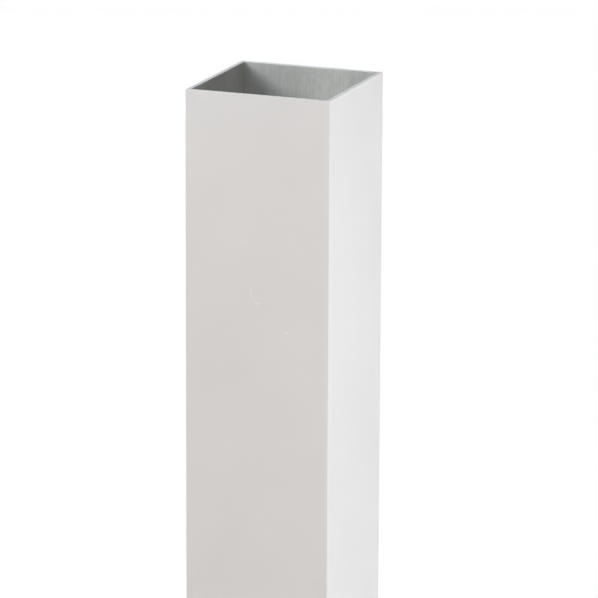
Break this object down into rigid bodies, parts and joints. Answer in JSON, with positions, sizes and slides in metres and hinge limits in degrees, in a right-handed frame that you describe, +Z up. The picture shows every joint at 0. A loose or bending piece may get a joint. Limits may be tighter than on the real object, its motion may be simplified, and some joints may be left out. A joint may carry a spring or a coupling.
{
  "type": "aluminium fence post",
  "caption": "Square hollow aluminium fence post, white powder coated outside with a bare metal bore, saw cut and open at both ends, standing upright.",
  "frame": {"origin": "middle of the foot, on the surface that the post stands on", "axes": "+Z up along the post, X and Y square to its four faces"},
  "size_m": [0.1, 0.1, 1.2],
  "materials": {
    "powder_coat": "satin white powder coat on aluminium, with a faint fine orange peel",
    "bare_aluminium": "mill finish with fine die lines along the bore, and saw-cut ends"
  },
  "bodies": {
    "root": {"fence_post": "powder_coat"}
  },
  "joints": []
}
